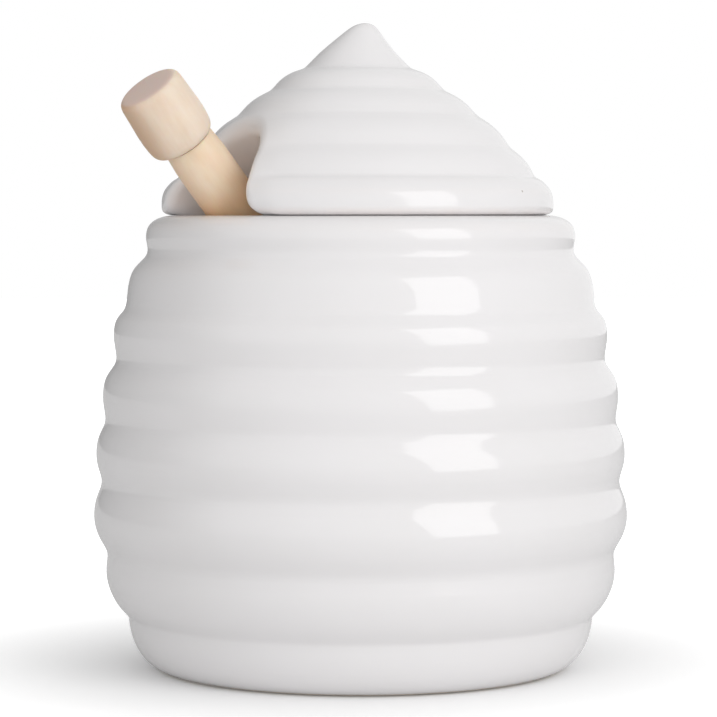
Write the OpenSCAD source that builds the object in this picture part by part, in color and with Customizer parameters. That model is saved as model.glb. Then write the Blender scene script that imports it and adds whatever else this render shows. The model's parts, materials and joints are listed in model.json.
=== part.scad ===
// Honey pot in the shape of a straw beehive: a ribbed ceramic jar, a ringed ceramic lid with a
// notch in its edge, and a turned wooden dipper that leans out of the notch.
// Millimetres, +Z up, origin on the jar's axis at the table.

/* [Jar] */
// Diameter of the plain foot under the ribs
foot_d = 105; // [98:0.2:112]
// Height of the foot
foot_h = 12.1; // [9:0.1:15]
// How far the foot curves in on its way down to the table
foot_curve = 9; // [5:0.5:12]
// Height of each rib, from the foot up
rib_h = [14.8, 15, 14.7, 13.7, 12.5, 10.7]; // [10:0.1:18]
// Diameter of the groove above each rib but the last, where the two arcs would meet
groove_d = [114, 115.2, 113.6, 108.8, 104.8]; // [96:0.2:124]
// How far each rib stands out from the straight line between its grooves
rib_bulge = [2.4, 3, 2.5, 2.4, 2.2, 1.5]; // [1:0.1:3]
// Radius of the hollow in the bottom of each groove
groove_round = 4.2; // [1:0.1:6]
// Diameter of the roll at the rim
rim_d = 96.6; // [90:0.2:104]
// Height of the rim above the last rib
rim_h = 8.5; // [6:0.1:12]
// How far the upright side of the rim's roll stands out from a straight line
rim_bulge = 0.2; // [0.1:0.1:0.5]
// How far the rim's roll curves in, and how much of its height the curve takes
rim_curve = [6, 3.8]; // [2:0.1:6]
// Width of the flat ring on the rim that the lid rests on
rim_land = 1.8; // [1:0.1:5]
// Rounding of the mouth's upper edge
mouth_round = 1.5; // [0.5:0.1:2]
// Thickness of the lip round the mouth
lip_t = 5.2; // [4:0.1:7]
// Thickness of the wall behind the grooves
wall = 4.8; // [3.5:0.1:6]
// Thickness of the floor
floor_t = 6; // [4:0.1:8]
// Radius between the inside wall and the floor
floor_round = 18; // [12:0.5:24]
// Width of the ring that the jar stands on
foot_ring_w = 6; // [3:0.5:12]
// Depth of the hollow under the floor
base_hollow = 1.5; // [0.5:0.1:3]

/* [Lid] */
// Largest diameter of the lid, at the roll that rests on the rim
lid_d = 88.2; // [85:0.2:92]
// Height of that roll, then of each ring above it
ring_h = [8.4, 6.7, 7.1, 5.7, 4.9]; // [4:0.1:10]
// Diameter of the groove above the roll, then above each ring
ring_groove_d = [79.8, 68.4, 53.8, 38.8, 24.2]; // [16:0.2:84]
// How far each ring stands out from the straight line between its grooves
ring_bulge = [0.8, 0.9, 0.8, 1]; // [0.3:0.1:1.5]
// Radius of the hollow in the bottom of the lid's grooves
ring_groove_round = 2.2; // [0.4:0.1:3]
// Height of the plain point above the last groove
tip_h = 10.4; // [8:0.1:14]
// Rounding of the point
tip_round = 4.6; // [1:0.1:5]
// Rounding under the roll: inwards, and upwards
roll_round = [1.8, 2.6]; // [1:0.1:4]
// Thickness of the lid behind its grooves
lid_wall = 9; // [3:0.1:10]
// Depth of the skirt that keeps the lid in the mouth
skirt_h = 5; // [2:0.1:8]
// Thickness of the skirt
skirt_t = 3.2; // [2:0.1:5]
// Play between the skirt and the mouth, all round
lid_play = 1.1; // [0.8:0.1:2]
// How far the lid lies off the jar's middle in that play, along X and Y
lid_aside = [-0.7, 0]; // [-0.7:0.1:0.7]

/* [Notch] */
// Room between the dipper's head and the notch's arch as the head is drawn through
notch_room = 0.7; // [0.4:0.1:3]
// Angle by which the sides of the notch spread towards the rim
notch_flare = 28; // [0:1:35]

/* [Dipper] */
// Length of the dipper
dipper_l = 155; // [140:1:180]
// Direction that the dipper leans in, seen from above, from +X
dipper_turn = 216; // [180:1:270]
// How far the dipper lies to one side of the jar's middle
dipper_aside = -1.9; // [-4:0.1:4]
// Diameter of the shaft
shaft_d = 12.2; // [9:0.1:13]
// Diameter of the shaft right under the knob, and length of the taper there
neck = [11.4, 5]; // [4:0.1:13]
// Diameter and length of the pins on the shaft's ends
pin = [7, 10]; // [5:0.5:12]
// Glue gap round the pins
glue_gap = 0.1; // [0.05:0.05:0.3]
// Length of the knob
knob_l = 16.3; // [13:0.1:25]
// Diameter of the knob at its end face
knob_end_d = 13.8; // [11:0.1:16]
// Diameter of the knob where it meets the shaft
knob_foot_d = 13.6; // [13:0.1:16]
// How far the knob's side swells between its two ends
knob_bulge = 0.6; // [0.2:0.1:1.5]
// Rounding of the knob's edges: at the end face, and at the shaft
knob_round = [0.3, 1.6]; // [0.2:0.1:3]
// Diameter of the head at its middle
head_d = 18.2; // [16:0.1:21]
// Length of the head
head_l = 36; // [30:0.5:45]
// Diameter of the head where it meets the shaft
head_top_d = 13.6; // [13:0.1:17]
// Number of grooves turned into the head
head_grooves = 5; // [3:1:7]
// Width of those grooves
head_groove_w = 2.4; // [1.5:0.1:3]
// Diameter left inside those grooves
head_core_d = 11; // [9.5:0.1:12]

/* [Fit] */
// Gap between the dipper and what it leans on
lean_gap = 0.3; // [0.2:0.05:0.6]
// Room between the dipper's head and the mouth's edge as the head is drawn past
draw_room = 0.9; // [0.4:0.1:2]

/* [Hidden] */
glaze = "#F1EFEE";
wood = "#E6CFAE";
turn_fn = 96;
arc_steps = 8;
round_steps = 5;
disc_steps = 5;

// Plane geometry: points are [distance from the axis, height]

// Points along an arc about c from angle a0 to a1, round or with two half axes
function arc(c, r, a0, a1, n = arc_steps) = oval(c, [r, r], a0, a1, n);
function oval(c, half, a0, a1, n = arc_steps) =
    [for (i = [0 : n]) let (a = a0 + (a1 - a0) * i / n) c + [half.x * cos(a), half.y * sin(a)]];

// Angle of a direction, from -180 to 180, or from 0 to 360
function slope(v) = atan2(v.y, v.x);
function heading(v) = (slope(v) + 360) % 360;

// Radius and centre of the arc from p up to q that stands out from their line by b
function bulge_r(p, q, b) = (norm(q - p) ^ 2 / 4 + b ^ 2) / (2 * b);
function bulge_c(p, q, b) =
    let (up = (q - p) / norm(q - p)) (p + q) / 2 - (bulge_r(p, q, b) - b) * [up.y, -up.x];

// Outer crossing of two circles, the upper one second
function crossing(c1, r1, c2, r2) =
    let (gap = norm(c2 - c1), up = (c2 - c1) / gap, along = (r1 ^ 2 - r2 ^ 2 + gap ^ 2) / (2 * gap))
    c1 + along * up + sqrt(r1 ^ 2 - along ^ 2) * [up.y, -up.x];

// Whether an outline that runs up turns inwards where arcs about c1 and c2 meet at p
function grooved(p, c1, c2) = cross(p - c1, p - c2) < 0;

// Outline of a row of ribs through the groove points p, bulging by b, with hollows of radius f between them
function ribs(p, b, f) =
    let (
        last = len(b) - 1,
        c = [for (i = [0 : last]) bulge_c(p[i], p[i + 1], b[i])],
        r = [for (i = [0 : last]) bulge_r(p[i], p[i + 1], b[i])],
        hollow = [for (i = [0 : 1 : last - 1])
            grooved(p[i + 1], c[i], c[i + 1]) ? crossing(c[i], r[i] + f, c[i + 1], r[i + 1] + f) : p[i + 1]]
    )
    [for (i = [0 : last])
        let (
            start = i == 0 ? p[0] : hollow[i - 1],
            stop = i == last ? p[i + 1] : hollow[i]
        )
        each concat(
            arc(c[i], r[i], slope(start - c[i]), slope(stop - c[i])),
            i == last || hollow[i] == p[i + 1] ? []
                : arc(hollow[i], f, heading(c[i] - hollow[i]), heading(c[i + 1] - hollow[i]), round_steps)
        )];

// Sum of the first n numbers of a list
function sum(list, n) = n == 0 ? 0 : list[n - 1] + sum(list, n - 1);

// Jar

rib_n = len(rib_h);
rim_groove_z = foot_h + sum(rib_h, rib_n);
rim_z = rim_groove_z + rim_h;
foot_r = foot_d / 2;
base_r = foot_r - foot_curve;
rim_r = rim_d / 2;
mouth_r = rim_r - rim_curve.x - rim_land - mouth_round;
floor_z = base_hollow + floor_t;

// The grooves from the foot to the rim, then the upper end of the roll's upright side
groove_r = concat([foot_r], groove_d / 2, [rim_r]);
groove_p = [for (i = [0 : rib_n]) [groove_r[i], foot_h + sum(rib_h, i)]];
roll_top = [rim_r, rim_z - rim_curve.y];

// The inside wall follows the grooves and meets the floor in an arc
corner_z = floor_z + floor_round;
function corner_reach(z) = sqrt(floor_round ^ 2 - min(max(corner_z - z, 0), floor_round) ^ 2);
corner_c = [min([for (i = [0, 1]) groove_p[i].x - wall - corner_reach(groove_p[i].y)]), corner_z];
inside_p = [for (i = [rib_n : -1 : 1]) if (groove_p[i].y > corner_z) groove_p[i] - [wall, 0]];

function jar_outline() = concat(
    [[0, base_hollow], [base_r - foot_ring_w, base_hollow], [base_r - foot_ring_w, 0]],
    oval([base_r, foot_h], [foot_curve, foot_h], -90, 0),
    ribs(concat(groove_p, [roll_top]), concat(rib_bulge, [rim_bulge]), groove_round),
    oval(roll_top - [rim_curve.x, 0], rim_curve, 0, 90),
    arc([mouth_r + mouth_round, rim_z - mouth_round], mouth_round, 90, 180, round_steps),
    [[mouth_r, rim_z - lip_t]],
    inside_p,
    arc(corner_c, floor_round, 0, -90, 2 * arc_steps),
    [[0, floor_z]]
);

module jar() {
    color(glaze) rotate_extrude($fn = turn_fn) polygon(jar_outline());
}

// How the dipper lies: it leans on the mouth's edge and its tip stands in the far corner of the floor.
// Points here are [distance towards the lean, height], in the upright plane that holds its axis

shaft_r = shaft_d / 2;
head_r = head_d / 2;
edge = [sqrt((mouth_r + mouth_round) ^ 2 - dipper_aside ^ 2), rim_z - mouth_round];
corner = [-sqrt(corner_c.x ^ 2 - dipper_aside ^ 2), corner_c.y];

// Slope of a line from p that passes the edge at the distance d
function slope_past_edge(p, d) = slope(edge - p) + asin(d / norm(edge - p));

// The shaft leans on the edge, or the knob does if the dipper is too short for its shaft to pass the rim
knob_r = max(knob_foot_d, knob_end_d) / 2 + knob_bulge;
shaft_end = dipper_l - knob_l - floor_round - norm(edge - corner);
lean = slope_past_edge(corner, (shaft_end > knob_r ? shaft_r : knob_r) + mouth_round + lean_gap);
tip = corner - (floor_round - lean_gap) * [cos(lean), sin(lean)];

// The dipper is drawn out on a slightly steeper line, so that the head's middle clears the mouth's edge
head_mid = tip + head_l / 2 * [cos(lean), sin(lean)];
draw = slope_past_edge(head_mid, head_r + mouth_round + draw_room);

// Moves a shape from its own upright axis to a line through p at the slope a
module lean_to(p, a) {
    rotate(dipper_turn) translate([p.x, dipper_aside, p.y]) rotate([0, 90 - a, 0]) children();
}

// Lid

ring_n = len(ring_h);
lid_r = lid_d / 2;
skirt_r = mouth_r - lid_play;
skirt_in = skirt_r - skirt_t;
ring_p = [for (i = [0 : ring_n - 1]) [ring_groove_d[i] / 2, rim_z + sum(ring_h, i + 1)]];
roll_z = rim_z + roll_round.y;
lid_top = ring_p[ring_n - 1].y + tip_h;

// The point is a cone that touches a ball at the top
tip_foot = ring_p[ring_n - 1];
ball_c = [0, lid_top - tip_round];
tip_touch = slope(tip_foot - ball_c) + acos(tip_round / norm(tip_foot - ball_c));

// The inside of the lid is a cone under the line of the grooves, and ends in a flatter cone under the point
flank = (tip_foot - ring_p[0]) / norm(tip_foot - ring_p[0]);
inside_foot = ring_p[0] - lid_wall * [flank.y, -flank.x];
inside_top = tip_foot - lid_wall * [flank.y, -flank.x];
inside_turn = inside_foot + (skirt_in - inside_foot.x) / flank.x * flank;
inside_peak = [0, inside_top.y + inside_top.x / 2];

// The roll's upper side is a quarter oval that stops short of both ends, where rings and roll meet it
roll_upper = [10, 80];

function lid_outline() = concat(
    [[skirt_in, rim_z - skirt_h], [skirt_r, rim_z - skirt_h], [skirt_r, rim_z]],
    oval([lid_r - roll_round.x, roll_z], roll_round, -90, 0, round_steps),
    oval([ring_p[0].x, roll_z], [lid_r - ring_p[0].x, ring_p[0].y - roll_z], roll_upper[0], roll_upper[1]),
    ribs(ring_p, ring_bulge, ring_groove_round),
    arc(ball_c, tip_round, tip_touch, 90, round_steps),
    [inside_peak, inside_top, inside_turn]
);

// The notch is cut along the line on which the head is drawn out: the cut starts inside the skirt, ends
// outside the lid and reaches below the skirt. Its sides lie a little inside the arch's tangents, so that
// they cross the arch rather than touch it
notch_r = head_r + notch_room;
side_tuck = 0.05;
cut_start = (rim_z - head_mid.y) / sin(draw) - 2 * notch_r;
cut_l = 5 * notch_r;
cut_drop = 3 * notch_r;

module notch() {
    side = (notch_r - side_tuck) * [-sin(notch_flare), cos(notch_flare)];
    spread = side + cut_drop * [cos(notch_flare), sin(notch_flare)];
    lean_to(head_mid, draw) translate([0, 0, cut_start]) {
        cylinder(r = notch_r, h = cut_l, $fn = turn_fn);
        linear_extrude(cut_l) polygon([side, spread, [spread.x, -spread.y], [side.x, -side.y]]);
    }
}

module lid() {
    color(glaze) difference() {
        translate(lid_aside) rotate_extrude($fn = turn_fn) polygon(lid_outline());
        notch();
    }
}

// Dipper: each piece stands upright on its tip's height, then leans

shaft_z = [head_l, dipper_l - knob_l];
pin_r = pin.x / 2;

module dipper_shaft() {
    color(wood) lean_to(tip, lean) rotate_extrude($fn = turn_fn) polygon([
        [0, shaft_z.x - pin.y], [pin_r, shaft_z.x - pin.y], [pin_r, shaft_z.x],
        [shaft_r, shaft_z.x], [shaft_r, shaft_z.y - neck.y], [neck.x / 2, shaft_z.y],
        [pin_r, shaft_z.y], [pin_r, shaft_z.y + pin.y], [0, shaft_z.y + pin.y]
    ]);
}

// Socket for a pin, with room for the glue, from height z on
module socket(z, l) {
    translate([0, 0, z]) cylinder(r = pin_r + glue_gap, h = l, $fn = turn_fn);
}

module dipper_knob() {
    foot = [knob_foot_d / 2, shaft_z.y + knob_round.y];
    end = [knob_end_d / 2, dipper_l - knob_round.x];
    side_c = bulge_c(foot, end, knob_bulge);
    side_r = bulge_r(foot, end, knob_bulge);
    color(wood) lean_to(tip, lean) difference() {
        rotate_extrude($fn = turn_fn) polygon(concat(
            [[0, shaft_z.y]],
            arc(foot - [knob_round.y, 0], knob_round.y, -90, 0, round_steps),
            arc(side_c, side_r, slope(foot - side_c), slope(end - side_c)),
            arc(end - [knob_round.x, 0], knob_round.x, 0, 90, round_steps),
            [[0, dipper_l]]
        ));
        socket(shaft_z.y - glue_gap, pin.y + 2 * glue_gap);
    }
}

// The head swells as an ellipse from its domed tip to its middle, and less steeply from the shaft.
// The steps of the lowest disc crowd towards the tip
head_top_share = sqrt(1 - (head_top_d / head_d) ^ 2);
function head_swell(z) =
    let (u = 2 * z / head_l - 1) head_r * sqrt(1 - (u < 0 ? u : u * head_top_share) ^ 2);

module dipper_head() {
    pitch = (head_l + head_groove_w) / (head_grooves + 1);
    disc = pitch - head_groove_w;
    color(wood) lean_to(tip, lean) difference() {
        union() {
            translate([0, 0, disc / 2]) cylinder(d = head_core_d, h = head_l - disc, $fn = turn_fn);
            for (i = [0 : head_grooves])
                rotate_extrude($fn = turn_fn) polygon(concat(
                    [[0, i * pitch]],
                    [for (k = [0 : disc_steps])
                        let (z = i * pitch + disc * pow(k / disc_steps, i == 0 ? 2 : 1))
                        if (z > 0) [head_swell(z), z]],
                    [[0, i * pitch + disc]]
                ));
        }
        socket(head_l - pin.y - glue_gap, pin.y + 2 * glue_gap);
    }
}

jar();
lid();
dipper_shaft();
dipper_knob();
dipper_head();
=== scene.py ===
# %% [markdown]
# # A glazed honey pot
# The real object is a slip-cast pot in the form of a straw beehive. It has a pointed, ringed lid, and a
# turned wooden dipper that leans out of a notch in the lid's edge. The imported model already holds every
# size and place. This lesson adds what bare solids can't show: edges that glaze has flowed over, small
# unevenness from the potter's hand, wood grain, and studio light.

# %% Load the frame
import json
import math

import bmesh
import bpy
import numpy as np
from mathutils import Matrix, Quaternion, Vector


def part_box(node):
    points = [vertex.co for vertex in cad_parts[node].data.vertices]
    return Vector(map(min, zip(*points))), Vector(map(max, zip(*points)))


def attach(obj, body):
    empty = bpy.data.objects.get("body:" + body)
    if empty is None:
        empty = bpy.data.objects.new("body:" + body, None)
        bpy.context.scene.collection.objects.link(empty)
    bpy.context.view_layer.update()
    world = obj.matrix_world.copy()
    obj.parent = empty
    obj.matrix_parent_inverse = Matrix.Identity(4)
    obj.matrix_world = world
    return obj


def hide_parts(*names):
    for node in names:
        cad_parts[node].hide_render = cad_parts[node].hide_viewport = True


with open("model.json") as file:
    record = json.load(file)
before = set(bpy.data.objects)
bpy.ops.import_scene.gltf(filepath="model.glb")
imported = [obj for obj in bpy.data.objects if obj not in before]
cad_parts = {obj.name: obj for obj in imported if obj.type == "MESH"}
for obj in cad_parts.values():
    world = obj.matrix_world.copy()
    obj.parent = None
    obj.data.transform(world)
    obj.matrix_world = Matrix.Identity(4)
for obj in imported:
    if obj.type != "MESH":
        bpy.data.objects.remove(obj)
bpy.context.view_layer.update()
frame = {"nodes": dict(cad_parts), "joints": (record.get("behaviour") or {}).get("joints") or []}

MM = 0.001
scene = bpy.context.scene
print("nodes in the frame:", sorted(frame["nodes"]))

# %% [markdown]
# ## The camera
# The pot was photographed from two thirds of a metre, level with its rim and through a long lens. Such a
# lens keeps the foot and the rim nearly flat lines. Depth of field stays off, so that every rib is sharp.
# Place, tilt and lens were fitted to the pot's outline in the photo.

# %% Camera
DOWNWARDS = math.radians(2.737)
camera = bpy.data.objects.new("product_camera", bpy.data.cameras.new("product_camera"))
camera.location = Vector((-0.47, -676, 102)) * MM
camera.rotation_euler = (math.radians(90) - DOWNWARDS, 0, 0)
camera.data.lens = 150.4
scene.collection.objects.link(camera)
scene.camera = camera
print("camera at", [round(c, 4) for c in camera.location])

# %% [markdown]
# ## Nodes from code
# Geometry and materials are both node trees here. One small function adds a node, sets its properties
# and fills its inputs, either with a number or with a link from another node. Everything below uses it. Two
# more stand for the nodes that come up most: a mix of two colours, and a ramp from one range to another.

# %% Add a node


def add(tree, kind, inputs=None, **settings):
    """Adds a node. Inputs go by name or number, and each one is a value, a socket or another node."""
    node = tree.nodes.new(kind)
    for name, value in settings.items():
        setattr(node, name, value)
    for key, value in (inputs or {}).items():
        if isinstance(value, bpy.types.Node):
            value = value.outputs[0]
        if isinstance(value, bpy.types.NodeSocket):
            tree.links.new(value, node.inputs[key])
        else:
            node.inputs[key].default_value = value
    return node


def mix(tree, share, first, second, **settings):
    """Mixes two colours and returns the mixed colour's socket."""
    inputs = {0: share, 6: first, 7: second}
    return add(tree, "ShaderNodeMix", inputs, data_type="RGBA", **settings).outputs[2]


def ramp(tree, value, low, high, first=0.0, last=1.0, **settings):
    """Takes values from low to high to values from first to last."""
    inputs = {0: value, 1: low, 2: high, 3: first, 4: last}
    return add(tree, "ShaderNodeMapRange", inputs, **settings).outputs[0]


def paint(code):
    """Turns an sRGB hex colour into the linear colour that nodes expect."""
    share = [int(code[i : i + 2], 16) / 255 for i in (1, 3, 5)]
    return [s / 12.92 if s <= 0.04045 else ((s + 0.055) / 1.055) ** 2.4 for s in share] + [1]


print("mid grey in linear light:", [round(c, 3) for c in paint("#808080")])

# %% [markdown]
# ## White glazed earthenware
# The jar and the lid are slip-cast earthenware, dipped in a white glaze that melts to a glassy coat. The eye
# sees a neutral white with crisp reflections that waver a little, because the coat isn't quite even.
# It thins on sharp edges, so a trace of the body's cream tone comes through there, and on the lid a few gas
# pinholes stay open. One Principled shader does it: the pattern nodes only steer its colour, roughness and
# bump.

# %% Glaze


def white_glaze():
    material = bpy.data.materials.new("white_glazed_earthenware")
    material.use_nodes = True
    tree = material.node_tree
    shader = tree.nodes["Principled BSDF"]
    spot = add(tree, "ShaderNodeTexCoord").outputs["Object"]
    # Thick and thin patches of the dip, about as wide as a thumb
    dip = add(tree, "ShaderNodeTexNoise", {"Vector": spot, "Scale": 1 / (24 * MM), "Detail": 2})
    coat = mix(tree, dip, paint("#F1EFF0"), paint("#EDEBEB"))
    # Thin glaze on edges, broken up as it is on a real dip
    edge = add(tree, "ShaderNodeAttribute", attribute_name="thin").outputs["Fac"]
    patch = add(tree, "ShaderNodeTexNoise", {"Vector": spot, "Scale": 1 / (6 * MM), "Detail": 3})
    broken = ramp(tree, patch, 0.3, 0.7, 0.5, 1.0)
    thin = add(tree, "ShaderNodeMath", {0: edge, 1: broken}, operation="MULTIPLY")
    worn = mix(tree, thin, coat, paint("#F3EAE6"))
    # Pinholes: dark pits where the surface happens to cross the middle of a cell
    cell = add(tree, "ShaderNodeTexVoronoi", {"Vector": spot, "Scale": 1 / (9 * MM)})
    dot = ramp(tree, cell, 0.02, 0.04, 1.0, 0.0)
    pitted = add(tree, "ShaderNodeAttribute", attribute_name="pitted").outputs["Fac"]
    pit = add(tree, "ShaderNodeMath", {0: dot, 1: pitted}, operation="MULTIPLY")
    holed = mix(tree, pit, worn, paint("#B5ABA1"))
    # The ring that stands on the table is wiped clean before firing, so it shows the bare body
    height = add(tree, "ShaderNodeSeparateXYZ", {0: spot}).outputs[2]
    bare = ramp(tree, height, 0.3 * MM, 0.7 * MM, 1.0, 0.0)
    colour = mix(tree, bare, holed, paint("#E6D8C3"))
    # Roughness of the melt, and of the bare body
    gloss = ramp(tree, patch, 0.3, 0.7, 0.05, 0.1)
    rough = add(tree, "ShaderNodeMix", {0: bare, 2: gloss, 3: 0.8})
    # Ripples of the melt: broad and very low
    ripple = add(tree, "ShaderNodeTexNoise", {"Vector": spot, "Scale": 1 / (11 * MM), "Detail": 1})
    level = add(tree, "ShaderNodeMath", {0: pit, 1: -2.0, 2: ripple}, operation="MULTIPLY_ADD")
    bump = add(tree, "ShaderNodeBump", {"Strength": 0.5, "Distance": 0.12 * MM, "Height": level})
    tree.links.new(colour, shader.inputs["Base Color"])
    tree.links.new(rough.outputs[0], shader.inputs["Roughness"])
    tree.links.new(bump.outputs[0], shader.inputs["Normal"])
    shader.inputs["IOR"].default_value = 1.58
    return material


GLAZE = white_glaze()
print("made", GLAZE.name)

# %% [markdown]
# ## Turned wood
# The dipper is turned from pale, even wood such as maple, sanded fine and left bare. The eye sees a soft
# cream with faint clouds and hardly any grain. Where the lathe cuts across the fibres, the open pores soak up
# handling and look darker and pinker. One side of each piece, most of all the knob's, is painted darker and
# browner as painted shade, and the rod's lower end and the head are painted warmer as painted shade. A turned
# piece is tilted in the pot, so the pattern reads "lathe", the place of each point before the piece was
# tilted.
# The cut across the fibres is wherever the surface faces along the piece's axis.

# %% Maple


def turned_maple(name, light, dark, side_shade, end, axis):
    material = bpy.data.materials.new(name)
    material.use_nodes = True
    tree = material.node_tree
    shader = tree.nodes["Principled BSDF"]
    lathe = add(tree, "ShaderNodeAttribute", attribute_name="lathe").outputs["Vector"]
    # Clouds some 4 mm wide and 9 mm long, and streaks of 0.6 mm that are hardly seen
    along = add(tree, "ShaderNodeMapping", {0: lathe, 3: (1, 1, 0.45)})
    cloud = add(tree, "ShaderNodeTexNoise", {0: along, "Scale": 1 / (4 * MM), "Detail": 3})
    grain = add(tree, "ShaderNodeMapping", {0: lathe, 3: (1, 1, 0.06)})
    streak = add(tree, "ShaderNodeTexNoise", {0: grain, "Scale": 1 / (0.6 * MM), "Detail": 3})
    both = add(tree, "ShaderNodeMix", {0: 0.2, 2: cloud, 3: streak})
    tone = ramp(tree, both, 0.3, 0.7)
    sap = mix(tree, tone, paint(light), paint(dark))
    # Painted shade: one side of each piece is painted darker and browner, most of all the knob's
    across, _, up = add(tree, "ShaderNodeSeparateXYZ", {0: lathe}).outputs
    near = ramp(tree, across, -1 * MM, -7.5 * MM, interpolation_type="SMOOTHSTEP")
    side_shaded = mix(tree, near, sap, paint(side_shade))
    # Painted shade: the rod's lower end and the head are painted warmer and darker
    low_end_shade = ramp(tree, up, 105 * MM, 96 * MM, interpolation_type="SMOOTHSTEP")
    wood = mix(tree, low_end_shade, side_shaded, paint("#FAE9D6"), blend_type="MULTIPLY")
    # End grain
    facing = add(tree, "ShaderNodeNewGeometry").outputs["Normal"]
    upright = add(tree, "ShaderNodeVectorMath", {0: facing, 1: axis}, operation="DOT_PRODUCT")
    steep = add(tree, "ShaderNodeMath", {0: upright.outputs["Value"]}, operation="ABSOLUTE")
    cut = ramp(tree, steep, 0.8, 0.97)
    colour = mix(tree, cut, wood, paint(end))
    bump = add(tree, "ShaderNodeBump", {"Strength": 0.2, "Distance": 0.05 * MM, "Height": streak})
    tree.links.new(colour, shader.inputs["Base Color"])
    tree.links.new(bump.outputs[0], shader.inputs["Normal"])
    shader.inputs["Roughness"].default_value = 0.5
    shader.inputs["IOR"].default_value = 1.45
    # Light goes a little way into bare wood and comes out warmer, which keeps its shade from turning grey
    shader.inputs["Subsurface Weight"].default_value = 0.35
    shader.inputs["Subsurface Radius"].default_value = (1.0, 0.5, 0.25)
    shader.inputs["Subsurface Scale"].default_value = 2.5 * MM
    return material


print("ready for the dipper:", turned_maple.__name__)

# %% [markdown]
# ## Reading an outline from the frame
# Every piece of this pot is turned: one outline, swung about an axis. The frame holds the turned solids as
# triangles, so the outline can be read back from them. Each corner becomes a pair (distance from the axis,
# height along it). Triangle edges tell which pairs are neighbours, and walking from neighbour to neighbour
# gives the outline in order. A second set of sizes, which could drift from the solids, isn't needed.

# %% Read an outline


def corners(node):
    """The corners of a node's triangles, as an array of triangles × 3 corners × 3 coordinates."""
    mesh = frame["nodes"][node].data
    mesh.calc_loop_triangles()
    points = np.array([v.co for v in mesh.vertices])
    return points[np.array([t.vertices[:] for t in mesh.loop_triangles])]


def read_outline(node, foot, axis, side=None):
    """Walks a turned node's outline. Where a side is given, only the triangles on that side count."""
    triangles = corners(node) - foot
    if side is not None:
        triangles = triangles[(triangles @ side > 0).all(axis=1)]
    height = triangles @ axis
    radius = np.linalg.norm(triangles - height[..., None] * axis, axis=-1)
    pairs = np.round(np.stack([radius, height], -1), 5).reshape(-1, 2)
    spots, index = np.unique(pairs, axis=0, return_inverse=True)
    near = [set() for _ in spots]
    for a, b, c in index.reshape(-1, 3):
        near[a] |= {b, c}
        near[b] |= {a, c}
        near[c] |= {a, b}
    ends = [i for i in range(len(spots)) if len(near[i] - {i}) == 1]
    walk = [min(ends, key=lambda i: spots[i][1])]
    while True:
        ahead = near[walk[-1]] - set(walk)
        if not ahead:
            break
        walk.append(min(ahead, key=lambda i: math.dist(spots[i], spots[walk[-1]])))
    first, last = spots[walk[0]], spots[walk[-1]]
    return np.array([(0, first[1]), *spots[walk], (0, last[1])])


UP = np.array([0.0, 0.0, 1.0])
jar_outline = read_outline("jar", np.zeros(3), UP)
print("the jar's outline has", len(jar_outline), "points")

# %% [markdown]
# ## Ribs as they came from the mould
# The solids' ribs are even arcs. The real mould was carved by eye: some grooves sit up to 1.4 mm lower than
# that, and the one under the rim is deeper. It shows in the highlights, because a reflection turns twice as
# far as the surface does. So the outside of an outline can be bent near some places, and the bend fades out
# with a cosine.

# %% Bend an outline


def bend_outside(outline, places):
    """Each place is a height, how far the outside moves down and inwards, and how far the bend reaches."""
    low, high = sorted((outline[:, 1].argmin(), outline[:, 1].argmax()))
    order = np.arange(len(outline))
    outside = (order >= low) & (order <= high)
    bent = outline.copy()
    for height, down, inwards, reach in np.array(places).reshape(-1, 4):
        near = np.clip(np.abs(outline[:, 1] - height) / reach, 0, 1)
        share = outside * (0.5 + 0.5 * np.cos(math.pi * near))
        bent -= share[:, None] * (inwards, down)
    return bent


# Height, down, inwards and reach, from the lowest groove to the one under the rim
JAR_GROOVES = MM * np.array(
    [
        (26.9, 0.25, 0.15, 7.4),
        (41.9, -0.2, -0.15, 7.4),
        (56.6, 0.7, -0.2, 7.1),
        (70.3, 0.9, 0.05, 6.5),
        (82.8, 1.4, -0.2, 5.8),
        (93.5, 0.15, 0.7, 4.2),
    ]
)
print("grooves that differ from the solid's:", len(JAR_GROOVES))

# %% [markdown]
# ## Softening an outline
# Glaze pools in hollows and pulls off edges, and sandpaper breaks the corners of wood. Both act like a
# blur along the outline. So the outline is divided into even steps, blurred with a bell curve some tenths of
# a millimetre wide, and thinned out again where it is nearly straight. A Bevel modifier could
# round the edges too, but it would leave the hollows sharp. The blur also tells how tightly each point
# bends outwards, which is kept for the glaze as "thin".

# %% Soften an outline


# Bends in radians per mm: up to the first an edge keeps its glaze, and from the second on it is thinnest
BLUNT, SHARP = 0.15, 0.5


def soften(outline, spread, places=(), turn=math.radians(4), stride=2.5 * MM):
    """Returns the blurred outline's points and, for each, how sharp an outer edge it is on, from 0 to 1."""
    step = 0.1 * MM
    run = np.concatenate([[0], np.cumsum(np.linalg.norm(np.diff(outline, axis=0), axis=1))])
    stops = np.linspace(0, run[-1], int(run[-1] / step))
    even = bend_outside(np.stack([np.interp(stops, run, outline[:, i]) for i in (0, 1)], -1), places)
    reach = int(4 * spread / step)
    mirrored = [even[reach:0:-1] * (-1, 1), even, even[-2 : -reach - 2 : -1] * (-1, 1)]
    bell = np.exp(-0.5 * (np.arange(-reach, reach + 1) * step / spread) ** 2)
    bell = bell / bell.sum()
    soft = np.stack([np.convolve(np.concatenate(mirrored)[:, i], bell, "valid") for i in (0, 1)], -1)
    soft[[0, -1], 0] = 0
    slope = np.diff(soft, axis=0)
    heading = np.unwrap(np.arctan2(slope[:, 1], slope[:, 0]))
    bend = np.gradient(heading, step) * MM
    edge = np.clip((bend - BLUNT) / (SHARP - BLUNT), 0, 1)
    kept = [0]
    for i in range(1, len(slope)):
        if abs(heading[i] - heading[kept[-1]]) > turn or (i - kept[-1]) * step > stride:
            kept.append(i)
    return np.concatenate([soft[kept], soft[-1:]]), np.append(edge[kept], 0)


soft_jar, thin_jar = soften(jar_outline, 0.7 * MM, JAR_GROOVES)
print("softened, the jar's outline has", len(soft_jar), "points")

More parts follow.
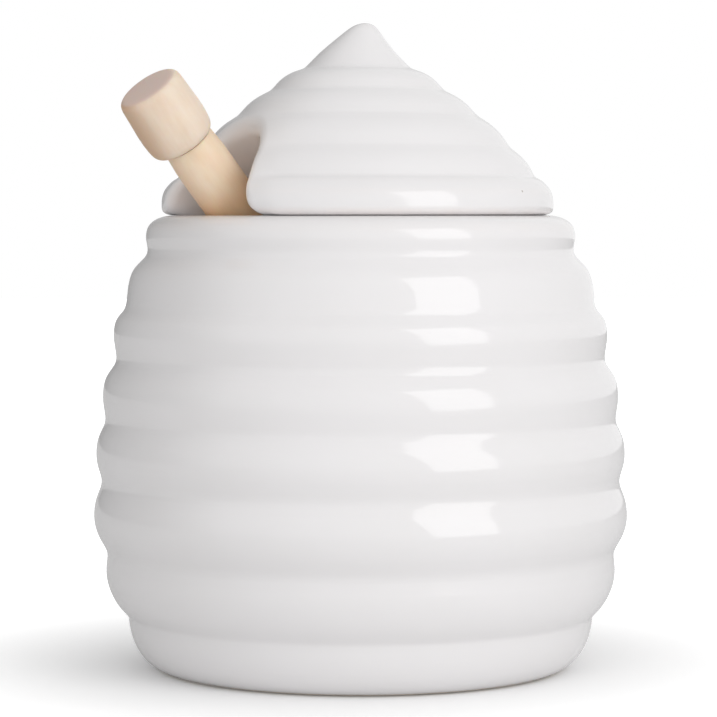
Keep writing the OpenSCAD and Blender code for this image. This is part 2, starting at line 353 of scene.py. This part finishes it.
# %% [markdown]
# ## A node tree that turns an outline
# A turned shape follows a rule, so Geometry Nodes make it. The outline becomes a curve and is swept round
# a small circle. Doubled points on the axis and the seam are merged, and low noise makes the
# round a little uneven, always inwards so that the piece never outgrows its solid. Then the place on the
# lathe is stored for the wood grain, and the piece is stood on its own axis. The same tree serves the
# jar, the lid and all three pieces of the dipper.

# %% The turning tree


def turning_tree():
    tree = bpy.data.node_groups.new("turned_shape", "GeometryNodeTree")
    face = tree.interface
    face.new_socket("Turned", in_out="OUTPUT", socket_type="NodeSocketGeometry")
    face.new_socket("Outline", in_out="INPUT", socket_type="NodeSocketGeometry")
    for name, kind in (
        ("Segments", "NodeSocketInt"),
        ("Unevenness", "NodeSocketFloat"),
        ("Unevenness Scale", "NodeSocketFloat"),
        ("Seed", "NodeSocketFloat"),
        ("Foot", "NodeSocketVector"),
        ("Axis", "NodeSocketVector"),
        ("Finish", "NodeSocketMaterial"),
    ):
        face.new_socket(name, in_out="INPUT", socket_type=kind)
    given = add(tree, "NodeGroupInput").outputs
    hub = 1 * MM
    profile = add(tree, "GeometryNodeMeshToCurve", {"Mesh": given["Outline"]})
    # A sweep lays the profile's Y axis downwards, so the outline is turned over first
    profile = add(
        tree,
        "GeometryNodeTransform",
        {"Geometry": profile, "Translation": (-hub, 0, 0), "Scale": (1, -1, 1)},
    )
    circle = add(tree, "GeometryNodeCurvePrimitiveCircle", {"Resolution": given["Segments"], "Radius": hub})
    swept = add(tree, "GeometryNodeCurveToMesh", {"Curve": circle, "Profile Curve": profile})
    closed = add(tree, "GeometryNodeMergeByDistance", {"Geometry": swept, "Distance": 0.01 * MM})
    place = add(tree, "GeometryNodeInputPosition")
    noise = add(
        tree,
        "ShaderNodeTexNoise",
        {"Vector": place, "W": given["Seed"], "Scale": given["Unevenness Scale"], "Detail": 1.0},
        noise_dimensions="4D",
    )
    inward = add(tree, "ShaderNodeMath", {0: noise, 1: 1.0}, operation="SUBTRACT")
    amount = add(tree, "ShaderNodeMath", {0: inward, 1: given["Unevenness"]}, operation="MULTIPLY")
    flat = add(tree, "ShaderNodeVectorMath", {0: place, 1: (1, 1, 0)}, operation="MULTIPLY")
    shift = add(tree, "ShaderNodeVectorMath", {0: flat, "Scale": amount}, operation="SCALE")
    uneven = add(tree, "GeometryNodeSetPosition", {"Geometry": closed, "Offset": shift})
    noted = add(
        tree,
        "GeometryNodeStoreNamedAttribute",
        {"Geometry": uneven, "Name": "lathe", "Value": add(tree, "GeometryNodeInputPosition")},
        data_type="FLOAT_VECTOR",
        domain="POINT",
    )
    lean = add(tree, "FunctionNodeAlignRotationToVector", {"Vector": given["Axis"]}, axis="Z")
    stood = add(
        tree,
        "GeometryNodeTransform",
        {"Geometry": noted, "Translation": given["Foot"], "Rotation": lean},
    )
    smooth = add(tree, "GeometryNodeSetShadeSmooth", {"Geometry": stood})
    real = add(tree, "GeometryNodeRealizeInstances", {"Geometry": smooth})
    done = add(tree, "GeometryNodeSetMaterial", {"Geometry": real, "Material": given["Finish"]})
    add(tree, "NodeGroupOutput", {"Turned": done})
    return tree


TURNING = turning_tree()
SOCKETS = {s.name: s.identifier for s in TURNING.interface.items_tree if s.in_out == "INPUT"}
print("the turning tree's inputs:", sorted(SOCKETS))

# %% [markdown]
# ## From outline to piece
# The outline goes into a mesh that has only edges, the tree turns it, and the evaluated result becomes a
# plain mesh, because the modifier must not stay on a finished piece. Sweeping can leave faces looking
# inwards, so the normals are recalculated at the end.

# %% Turn a piece


def plain_mesh(piece):
    """Replaces a piece's modifiers by the mesh that they make."""
    evaluated = piece.evaluated_get(bpy.context.evaluated_depsgraph_get())
    mesh = bpy.data.meshes.new_from_object(evaluated)
    piece.modifiers.clear()
    piece.data = mesh
    work = bmesh.new()
    work.from_mesh(mesh)
    bmesh.ops.recalc_face_normals(work, faces=work.faces[:])
    work.to_mesh(mesh)
    work.free()
    return piece


def turn_piece(name, outline, thin, finish, segments, uneven=0.0, seed=0.0, foot=(0, 0, 0), axis=(0, 0, 1)):
    mesh = bpy.data.meshes.new(name)
    mesh.from_pydata([(r, h, 0) for r, h in outline], [(i, i + 1) for i in range(len(outline) - 1)], [])
    mesh.attributes.new("thin", "FLOAT", "POINT").data.foreach_set("value", thin.astype(np.float32))
    piece = bpy.data.objects.new(name, mesh)
    scene.collection.objects.link(piece)
    turned = piece.modifiers.new("turned shape", "NODES")
    turned.node_group = TURNING
    for label, value in (
        ("Segments", segments),
        ("Unevenness", uneven),
        ("Unevenness Scale", 1 / (45 * MM)),
        ("Seed", seed),
        ("Foot", [float(f) for f in foot]),
        ("Axis", [float(a) for a in axis]),
        ("Finish", finish),
    ):
        turned[SOCKETS[label]] = value
    plain_mesh(piece)
    print(name, "has", len(piece.data.polygons), "faces")
    return piece


jar = turn_piece("jar_glazed", soft_jar, 0.4 * thin_jar, GLAZE, 192, uneven=0.004, seed=3.0)

# %% [markdown]
# ## The dipper
# A dipper is a rod with a pin on each end, a barrel-shaped knob and a grooved head, glued on. All three
# share the rod's axis, which the frame gives: the middles of the rod's two end faces. The knob is of a
# lighter piece of wood than the rod and the head.

# %% The dipper's axis and wood
rod = np.unique(np.round(corners("dipper_shaft").reshape(-1, 3), 7), axis=0)
along = np.linalg.svd(rod - rod.mean(axis=0))[2][0]
along = along * np.sign(along[2])
reach = rod @ along
rod_foot = rod[reach < reach.min() + 0.2 * MM].mean(axis=0)
rod_end = rod[reach > reach.max() - 0.2 * MM].mean(axis=0)
rod_axis = (rod_end - rod_foot) / np.linalg.norm(rod_end - rod_foot)

fibres = rod_axis.tolist()
# The fourth colour of each wood is painted shade on one side of the piece
SHAFT_WOOD = turned_maple("turned_maple_sanded", "#F9E5CB", "#F1D6B8", "#EBCBAC", "#DCC3B4", fibres)
KNOB_WOOD = turned_maple("turned_pale_maple_sanded", "#F3E3D1", "#EAD4BD", "#D2B091", "#DFC8BC", fibres)
print("the dipper leans", round(math.degrees(math.acos(rod_axis[2])), 2), "degrees from upright")

# %% [markdown]
# Sanded wood keeps fairly crisp edges, so these outlines are blurred only a little, and the knob's most. The
# knob is a little shorter than the solid's, is broadest near its foot, and was glued on a little askew, with
# its foot almost a millimetre off the middle.

# %% Dipper
# Each bend is a share of the piece's length, then down, inwards and reach in mm
SHAFT_BENDS = [(1, -0.8, 0, 40)]
KNOB_BENDS = [(0, 0, -0.65, 16), (0, -0.75, 0, 8), (1, 0.2, -0.4, 6)]
TIP_DOME = 4 * MM
aside = np.cross(rod_axis, (0, 1, 0))
aside = MM * aside / np.linalg.norm(aside)
dipper = {}
# After the bends comes how far the piece's two ends are off the middle, in mm
for node, spread, bends, ends, finish in (
    ("dipper_shaft", 0.2 * MM, SHAFT_BENDS, (0, 0), SHAFT_WOOD),
    ("dipper_knob", 0.9 * MM, KNOB_BENDS, (0.7, 0.2), KNOB_WOOD),
    ("dipper_head", 0.2 * MM, [], (0, 0), SHAFT_WOOD),
):
    outline = read_outline(node, rod_foot, rod_axis)
    low, high = outline[:, 1].min(), outline[:, 1].max()
    if node == "dipper_head":
        # The tip is one smooth dome, also where the solid's core stands out of it
        depth = outline[:, 1] - low
        dome = outline[:, 0].max() * np.sqrt(1 - (1 - 2 * depth / (high - low)) ** 2)
        outline[:, 0] = np.where(depth < TIP_DOME, np.minimum(outline[:, 0], dome), outline[:, 0])
    places = [(low + share * (high - low), *(MM * size for size in sizes)) for share, *sizes in bends]
    outline, thin = soften(outline, spread, places)
    start, stop = (rod_foot + h * rod_axis + end * aside for h, end in zip((low, high), ends))
    axis = (stop - start) / np.linalg.norm(stop - start)
    dipper[node] = turn_piece(node + "_turned", outline, thin, finish, 96, foot=start - low * axis, axis=axis)

# %% [markdown]
# ## The lid and its notch
# The lid is turned like the jar and then, while the clay is soft, a notch is cut for the dipper and its edge
# is wiped round. Clay is added inside to carry the notch, so the wall is thicker there. A Boolean makes the
# cut, but a Bevel on the edge of a cut through ribs is fragile. So the cut lid is remeshed into small even
# faces, and every point then slides onto a smooth rule: the distance to the turned outline and the distance
# to the notch, joined by a round lip.

# %% Lid blank
ADDED_INWARDS, ADDED_BELOW = 4 * MM, 3 * MM
pull = np.array(next(j["axis"] for j in frame["joints"] if j["name"] == "dipper_draw"))
tops = corners("lid").reshape(-1, 3)
tip = tops[tops[:, 2] > tops[:, 2].max() - 0.001 * MM].mean(axis=0)
lid_foot = np.array([tip[0], tip[1], 0.0])
away = -pull * (1, 1, 0) / np.linalg.norm(pull[:2])
lid_outline = read_outline("lid", lid_foot, UP, away)
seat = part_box("jar")[1].z
# The roll's shoulder is a little flatter than the solid's, and its lower edge is fuller
LID_ROLL = [(seat + 7.3 * MM, 0, 0.35 * MM, 2.2 * MM), (seat + 0.8 * MM, 0, -0.5 * MM, 1.2 * MM)]
soft_lid, thin_lid = soften(lid_outline, 0.7 * MM, LID_ROLL)
thick_outline = lid_outline.copy()
inside = np.arange(len(lid_outline)) <= lid_outline[:, 1].argmin()
thick_outline[inside, 0] = np.maximum(lid_outline[inside, 0] - ADDED_INWARDS, 0)
thick_outline[inside & (lid_outline[:, 1] > seat), 1] -= ADDED_BELOW
wiped_lid, thin_wiped = soften(thick_outline, 2.2 * MM, LID_ROLL)
lid = turn_piece("lid_glazed", soft_lid, thin_lid, GLAZE, 192, foot=lid_foot)

# %% [markdown]
# The notch is an arch that follows the dipper's head on its way out, so its width comes from the head and its
# direction from the joint. Below the arch the sides flare.

# %% The notch
head = corners("dipper_head").reshape(-1, 3) - rod_foot
head_z = head @ rod_axis
head_r = np.linalg.norm(head - head_z[:, None] * rod_axis, axis=1).max()
notch_mid = rod_foot + rod_axis * (head_z.min() + head_z.max()) / 2
wide = np.cross(pull, away)
wide = wide / np.linalg.norm(wide)
down = np.cross(wide, pull)
down = down * -np.sign(down[2])
NOTCH_R = head_r + 0.7 * MM
FLARE = math.radians(28)
outer = np.array([-math.sin(FLARE), math.cos(FLARE)])
leg = np.array([math.cos(FLARE), math.sin(FLARE)])
print("the notch is cut along", np.round(pull, 3), "and is", round(2 * NOTCH_R / MM, 2), "mm wide")

# %% Cut the notch
arch = [NOTCH_R * np.array([-math.sin(a), math.cos(a)]) for a in np.linspace(FLARE, math.pi - FLARE, 49)]
arch = [arch[0] + 3 * NOTCH_R * leg, *arch, arch[-1] + 3 * NOTCH_R * leg * (1, -1)]
below = (seat - notch_mid[2]) / pull[2] - 2 * NOTCH_R
ring = [[notch_mid + down * x + wide * y + pull * (below + s) for x, y in arch] for s in (0, 5 * NOTCH_R)]
count = len(arch)
faces = [list(range(count)), list(range(2 * count - 1, count - 1, -1))]
faces += [[i, i + count, (i + 1) % count + count, (i + 1) % count] for i in range(count)]
cutter_mesh = bpy.data.meshes.new("notch_cutter")
cutter_mesh.from_pydata([tuple(p) for p in ring[0] + ring[1]], [], faces)
cutter = bpy.data.objects.new("notch_cutter", cutter_mesh)
scene.collection.objects.link(cutter)
plain_mesh(cutter)

cut = lid.modifiers.new("notch", "BOOLEAN")
cut.operation = "DIFFERENCE"
cut.object = cutter
plain_mesh(lid)
bpy.data.objects.remove(cutter)
print("the cut lid has", len(lid.data.polygons), "faces")

# %% [markdown]
# For each point the nearest place on the outline gives a distance a, and the notch gives a distance b that
# is also negative inside the clay. Where both are less deep than the lip's radius, the round lip
# is the set of points whose two depths lie on a quarter circle.

# %% Distances


def outline_distance(points, outline, thin):
    """Signed distance to the turned outline, its direction in space, and the outline's edge value there."""
    flat = np.stack([np.hypot(points[:, 0], points[:, 1]), points[:, 2]], -1)
    side = np.diff(outline, axis=0)
    length = np.linalg.norm(side, axis=1)
    normal = np.stack([side[:, 1], -side[:, 0]], -1) / length[:, None]
    joint = np.concatenate([normal[:1], normal[1:] + normal[:-1], normal[-1:]])
    joint = joint / np.linalg.norm(joint, axis=1)[:, None]
    gap, direction, edge = [], [], []
    for part in np.array_split(flat, max(1, len(flat) // 4000)):
        rel = part[:, None] - outline[None, :-1]
        share = np.clip((rel * side).sum(-1) / length**2, 0, 1)
        best = ((rel - share[..., None] * side) ** 2).sum(-1).argmin(1)
        t = share[np.arange(len(part)), best][:, None]
        facing = joint[best] * (1 - t) + joint[best + 1] * t
        facing = facing / np.linalg.norm(facing, axis=1)[:, None]
        gap.append(((part - outline[best] - t * side[best]) * facing).sum(1))
        direction.append(facing)
        edge.append(thin[best] * (1 - t[:, 0]) + thin[best + 1] * t[:, 0])
    gap, direction, edge = np.concatenate(gap), np.concatenate(direction), np.concatenate(edge)
    round_about = points[:, :2] / np.maximum(flat[:, :1], 1e-9)
    return gap, np.concatenate([round_about * direction[:, :1], direction[:, 1:]], 1), edge


def notch_depth(points):
    """How far a point is inside the notch, counted as positive, and the direction in which that grows."""
    rel = points - notch_mid
    x, y = rel @ down, rel @ wide
    mirror = np.sign(y)
    across = np.abs(y)
    straight = x * leg[0] + across * leg[1] > 0
    centre = np.maximum(np.hypot(x, across), 1e-9)
    nx = np.where(straight, outer[0], x / centre)
    ny = np.where(straight, outer[1], across / centre)
    depth = NOTCH_R - np.where(straight, x * outer[0] + across * outer[1], centre)
    grows = -(nx[:, None] * down + (ny * mirror)[:, None] * wide)
    behind = (points - lid_foot) @ away > 0
    return np.where(behind, -1.0, depth), grows


print("the lid's outline has", len(soft_lid), "points, and", len(wiped_lid), "where it was wiped")

# %% [markdown]
# The lip is broadest at the foot of the notch, where a finger wiped it last, and at the top of the arch. The
# wiping has smeared the grooves next to the notch: there the outline is the more blurred one, with the
# thicker wall.

# %% The rule
LIP_HEIGHTS = MM * np.array([1, 7, 9, 14])
LIP_RADII = [3.2, 2.3, 2.4, 3.6]
SMEAR_FROM, SMEAR_TO = -8 * MM, -2 * MM


def lid_rule(points):
    """How far each point is off the rule, the rule's slope, the share of the lip, and the edge value."""
    b, slope_b = notch_depth(points + lid_foot)
    a, slope_a, edge = outline_distance(points, soft_lid, thin_lid)
    near = b > SMEAR_FROM
    a_near, slope_near, _ = outline_distance(points[near], wiped_lid, thin_wiped)
    smear = np.interp(b[near], [SMEAR_FROM, SMEAR_TO], [0, 1])
    smear = smear * smear * (3 - 2 * smear)
    a[near] += smear * (a_near - a[near])
    slope_a[near] += smear[:, None] * (slope_near - slope_a[near])
    lip_r = MM * np.interp(points[:, 2] - seat, LIP_HEIGHTS, LIP_RADII)
    over_a, over_b = np.maximum(a + lip_r, 0), np.maximum(b + lip_r, 0)
    size = np.maximum(np.hypot(over_a, over_b), 1e-9)
    slope = (over_a[:, None] * slope_a + over_b[:, None] * slope_b) / size[:, None]
    return np.minimum(-lip_r, np.maximum(a, b)) + size, slope, over_b / lip_r, edge


print("the lip's radius is from", min(LIP_RADII), "to", max(LIP_RADII), "mm")

# %% [markdown]
# A few small steps along the rule's slope bring nearly every point onto it. Where the wall grows, that
# stretches faces, so the lid is remeshed between rounds of steps. A few points, where two walls are equally
# near, don't settle. They and the rings of points round them are evened out: each moves to the mean of its
# neighbours, many times over. Each round leaves fewer of them.

# %% Slide the lid onto its rule
FACE_SIZE = 0.53 * MM
SETTLED = 0.1 * MM


def even_out(points, stray):
    ends = np.array([e.vertices[:] for e in lid.data.edges])
    for _ in range(4):
        stray[ends[stray[ends].any(axis=1)]] = True
    ends = ends[stray[ends].any(axis=1)]
    ends = np.concatenate([ends, ends[:, ::-1]])
    ends = ends[stray[ends[:, 0]]]
    neighbours = np.bincount(ends[:, 0], minlength=len(points))[stray, None]
    for _ in range(60):
        total = [np.bincount(ends[:, 0], points[ends[:, 1], i], len(points)) for i in range(3)]
        points[stray] = np.stack(total, -1)[stray] / neighbours


for _ in range(5):
    even = lid.modifiers.new("even faces", "REMESH")
    even.mode = "VOXEL"
    even.voxel_size = FACE_SIZE
    plain_mesh(lid)
    points = np.array([v.co for v in lid.data.vertices]) - lid_foot
    for _ in range(4):
        off, slope, lip, edge = lid_rule(points)
        steep = np.maximum((slope**2).sum(1), 0.25)
        points = points - (off / steep)[:, None] * slope
    stray = np.abs(lid_rule(points)[0]) > SETTLED
    print("points that don't settle:", int(stray.sum()), "of", len(points))
    even_out(points, stray)
    lid.data.vertices.foreach_set("co", (points + lid_foot).astype(np.float32).ravel())
    lid.data.update()

# %% [markdown]
# The real lid isn't quite true: its point leans a little to the right, as it does when a cast lid is taken
# from its mould by the point. The lean starts just above the last ring. Then the lid gets its glaze, which is
# thin on the lip and on other edges.

# %% Lean of the point, and glaze
LEAN, LEANING_PART = 1.7 * MM, 7 * MM
rise = np.clip((points[:, 2] - tip[2] + LEANING_PART) / LEANING_PART, 0, 1)
points[:, 0] += LEAN * rise**1.3
lid.data.vertices.foreach_set("co", (points + lid_foot).astype(np.float32).ravel())
thin_glaze = np.maximum(0.5 * edge * (lip <= 0), np.clip(lip, 0, 1) ** 2)
for name, values in (("thin", thin_glaze), ("pitted", np.ones(len(points)))):
    lid.data.attributes.new(name, "FLOAT", "POINT").data.foreach_set("value", values.astype(np.float32))
lid.data.materials.clear()
lid.data.materials.append(GLAZE)
lid.data.shade_smooth()
lid.data.update()
print("the lid's point is at", [round(float(c) / MM, 2) for c in points[points[:, 2].argmax()] + lid_foot])

# %% [markdown]
# ## Hooking the pieces to the frame
# Each piece stands for one CAD node and rides on that node's body.

# %% Hook up
for piece, node, body, slot in (
    (jar, "jar", "jar", "glaze"),
    (lid, "lid", "lid", "glaze"),
    (dipper["dipper_shaft"], "dipper_shaft", "dipper", "shaft_wood"),
    (dipper["dipper_knob"], "dipper_knob", "dipper", "knob_wood"),
    (dipper["dipper_head"], "dipper_head", "dipper", "shaft_wood"),
):
    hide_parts(node)
    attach(piece, body)
    print(piece.name, "rides on", body)

# %% [markdown]
# ## Table and background
# The pot stands on a white table in front of white. The table is a matte disc that takes a soft shadow. To
# the camera it glows a little, so that away from the pot it is as white as the background, and for all other
# light it is plain white card.

# %% Table


def white_card():
    material = bpy.data.materials.new("matte_white_card")
    material.use_nodes = True
    tree = material.node_tree
    shader = tree.nodes["Principled BSDF"]
    shader.inputs["Base Color"].default_value = paint("#F5F5F5")
    shader.inputs["Roughness"].default_value = 0.9
    shader.inputs["Specular IOR Level"].default_value = 0.0
    shader.inputs["Emission Color"].default_value = paint("#FFFFFF")
    spot = add(tree, "ShaderNodeTexCoord").outputs["Object"]
    far = add(tree, "ShaderNodeVectorMath", {0: spot}, operation="LENGTH").outputs["Value"]
    lift = ramp(tree, far, 50 * MM, 150 * MM, 0.12, 0.8)
    ray = add(tree, "ShaderNodeLightPath")
    seen = add(tree, "ShaderNodeMath", {0: ray.outputs["Is Camera Ray"], 1: lift}, operation="MULTIPLY")
    tree.links.new(seen.outputs[0], shader.inputs["Emission Strength"])
    return material


TABLE_R = 3.0
table_work = bmesh.new()
bmesh.ops.create_circle(table_work, cap_ends=True, segments=96, radius=TABLE_R)
table_mesh = bpy.data.meshes.new("table")
table_work.to_mesh(table_mesh)
table_work.free()
table_mesh.materials.append(white_card())
table = bpy.data.objects.new("table", table_mesh)
scene.collection.objects.link(table)
print("the table is", 2 * TABLE_R, "m wide")

# %% [markdown]
# ## Light
# The highlights on the ribs show one softbox, to the right of the camera and a little above it, with its top
# leaning to the left. A broad panel by the camera fills in. The photo shows no reflection of it, so it is
# hidden from reflections. The rest of the light is even and comes from a pale room, which the world gives. It
# is plain white to the camera, and white to reflections as well, but for a dimmer corner on the left behind
# the pot, which draws the darker left edge of the ribs.

# %% World
DIM_CORNER = (-0.79, 0.62, 0)
world = bpy.data.worlds.new("pale_room")
scene.world = world
world.use_nodes = True
room = world.node_tree
room.nodes.clear()
ray = add(room, "ShaderNodeLightPath")
mirrored = add(
    room,
    "ShaderNodeMath",
    {0: ray.outputs["Is Glossy Ray"], 1: ray.outputs["Is Transmission Ray"]},
    operation="MAXIMUM",
)
glow = ramp(room, mirrored, 0, 1, 0.66, 1.0)
way = add(room, "ShaderNodeTexCoord").outputs["Generated"]
corner = add(room, "ShaderNodeVectorMath", {0: way, 1: DIM_CORNER}, operation="DOT_PRODUCT")
dim = ramp(room, corner.outputs["Value"], 0.4, 0.8, 1.0, 0.3)
lit = add(room, "ShaderNodeMath", {0: glow, 1: dim}, operation="MULTIPLY")
seen = add(room, "ShaderNodeMix", {0: ray.outputs["Is Camera Ray"], 2: lit, 3: 1.0})
sky = add(room, "ShaderNodeBackground", {"Color": (1, 1, 1, 1), "Strength": seen})
add(room, "ShaderNodeOutputWorld", {"Surface": sky})
print("the room is", world.name)

# %% Softboxes
POT_MIDDLE = Vector((0, 0, 70)) * MM


def softbox(name, azimuth, elevation, distance, width, height, radiance, roll=0.0):
    """A panel that faces the pot. Azimuth goes to the right from the camera, roll leans the panel's top to
    the left, and radiance 1 is white."""
    lamp = bpy.data.lights.new(name, "AREA")
    lamp.shape = "RECTANGLE"
    lamp.size, lamp.size_y = width, height
    lamp.energy = radiance * math.pi * width * height
    panel = bpy.data.objects.new(name, lamp)
    az, el = math.radians(azimuth), math.radians(elevation)
    way = Vector((math.sin(az) * math.cos(el), -math.cos(az) * math.cos(el), math.sin(el)))
    panel.location = POT_MIDDLE + way * distance
    lean = Quaternion((0, 0, 1), math.radians(roll))
    panel.rotation_euler = (way.to_track_quat("Z", "Y") @ lean).to_euler()
    scene.collection.objects.link(panel)
    print(name, "gives", round(lamp.energy, 2), "W")
    return panel


softbox("key_softbox", 42, 20, 1.0, 0.56, 0.86, 1.7, roll=5)
softbox("front_fill", -12, 12, 1.0, 0.9, 0.9, 0.65).visible_glossy = False

# %% [markdown]
# ## Colours as written
# The Standard view shows colours as they were written.

# %% Finish
scene.view_settings.view_transform = "Standard"
